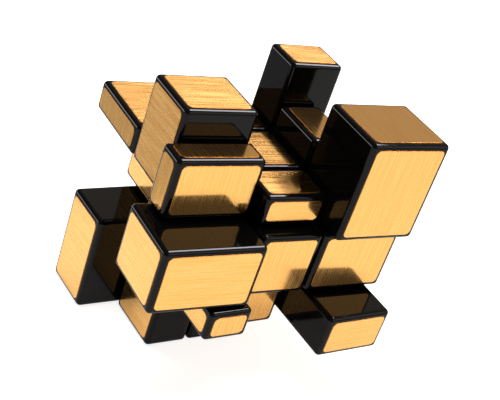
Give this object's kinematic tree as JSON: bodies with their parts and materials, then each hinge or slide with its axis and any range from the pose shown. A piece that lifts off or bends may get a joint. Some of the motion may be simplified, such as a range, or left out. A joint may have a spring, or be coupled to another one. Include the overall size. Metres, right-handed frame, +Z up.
{
  "type": "twisty puzzle cube",
  "caption": "Mirror-block twisty puzzle in a scrambled state: gloss black blocks of different lengths with brushed gold foil tiles, on a spring-loaded core; top and bottom layers turn.",
  "frame": {"origin": "middle of the bottom centre block's outer face, straight below the core, on the axis that the top and bottom layers turn about", "axes": "+Z up through the core to the top centre block, +X towards the right centre block, +Y towards the back centre block; the core is 38.5 mm above the origin"},
  "size_m": [0.073, 0.0763, 0.077],
  "materials": {
    "black_plastic": "moulded, polished to a high gloss",
    "gold_foil": "brushed gold metallic foil tile, straight fine grain, rounded corners",
    "core_plastic": "moulded, unpolished",
    "steel": "plain bright steel"
  },
  "bodies": {
    "core_and_middle_slice": {"core_spider": "core_plastic", "centre_screw_top": "steel", "centre_washer_top": "steel", "centre_spring_top": "steel", "centre_screw_bottom": "steel", "centre_washer_bottom": "steel", "centre_spring_bottom": "steel", "centre_screw_left": "steel", "centre_washer_left": "steel", "centre_spring_left": "steel", "centre_screw_right": "steel", "centre_washer_right": "steel", "centre_spring_right": "steel", "centre_screw_front": "steel", "centre_washer_front": "steel", "centre_spring_front": "steel", "centre_screw_back": "steel", "centre_washer_back": "steel", "centre_spring_back": "steel", "centre_base_left": "black_plastic", "centre_cap_left": "black_plastic", "centre_base_right": "black_plastic", "centre_cap_right": "black_plastic", "centre_base_front": "black_plastic", "centre_cap_front": "black_plastic", "centre_base_back": "black_plastic", "centre_cap_back": "black_plastic", "edge_back_left": "black_plastic", "edge_front_left": "black_plastic", "edge_front_right": "black_plastic", "edge_back_right": "black_plastic"},
    "top_layer": {"centre_base_top": "black_plastic", "centre_cap_top": "black_plastic", "edge_top_left": "black_plastic", "edge_top_back": "black_plastic", "edge_top_front": "black_plastic", "edge_top_right": "black_plastic", "corner_top_back_left": "black_plastic", "corner_top_front_left": "black_plastic", "corner_top_back_right": "black_plastic", "corner_top_front_right": "black_plastic"},
    "bottom_layer": {"centre_base_bottom": "black_plastic", "centre_cap_bottom": "black_plastic", "edge_bottom_left": "black_plastic", "edge_bottom_front": "black_plastic", "edge_bottom_back": "black_plastic", "edge_bottom_right": "black_plastic", "corner_bottom_back_left": "black_plastic", "corner_bottom_front_left": "black_plastic", "corner_bottom_front_right": "black_plastic", "corner_bottom_back_right": "black_plastic"}
  },
  "joints": [
    {"name": "top_layer_turn", "type": "hinge", "parent": "core_and_middle_slice", "child": "top_layer", "pos_m": [0, 0, 0.0385], "axis": [0, 0, 1], "continuous": true},
    {"name": "bottom_layer_turn", "type": "hinge", "parent": "core_and_middle_slice", "child": "bottom_layer", "pos_m": [0, 0, 0.0385], "axis": [0, 0, -1], "continuous": true}
  ]
}
